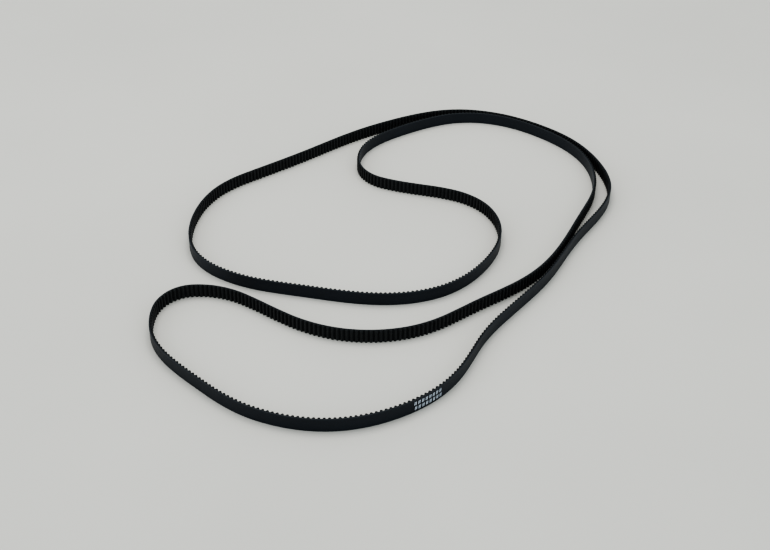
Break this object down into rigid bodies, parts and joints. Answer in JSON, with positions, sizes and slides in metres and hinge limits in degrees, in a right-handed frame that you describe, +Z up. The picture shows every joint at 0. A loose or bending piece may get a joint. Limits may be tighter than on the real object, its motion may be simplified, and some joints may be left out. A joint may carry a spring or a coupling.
{
  "type": "timing belt",
  "caption": "Endless toothed rubber drive belt lying loosely on its edge, smooth back outward and fabric-faced teeth on the inside of the loop.",
  "frame": {"origin": "centre of the bounding box on the floor the belt stands on", "axes": "+Y along the longer way of the lying loop, away from the viewer; +X to the viewer's right; +Z up, across the belt's width"},
  "size_m": [0.2108, 0.2586, 0.006],
  "materials": {
    "back_rubber": "ground matte black, bluish grey sheen",
    "tooth_rubber": "moulded matte black",
    "facing_fabric": "black nylon weave bonded to the teeth",
    "glass_cord": "twisted glass-fibre strand",
    "white_ink": "thin white printing ink"
  },
  "bodies": {
    "root": {"backing": "back_rubber", "tooth_rubber": "tooth_rubber", "tooth_facing": "facing_fabric", "tension_cord_s": "glass_cord", "tension_cord_z": "glass_cord", "size_mark": "white_ink"}
  },
  "joints": []
}
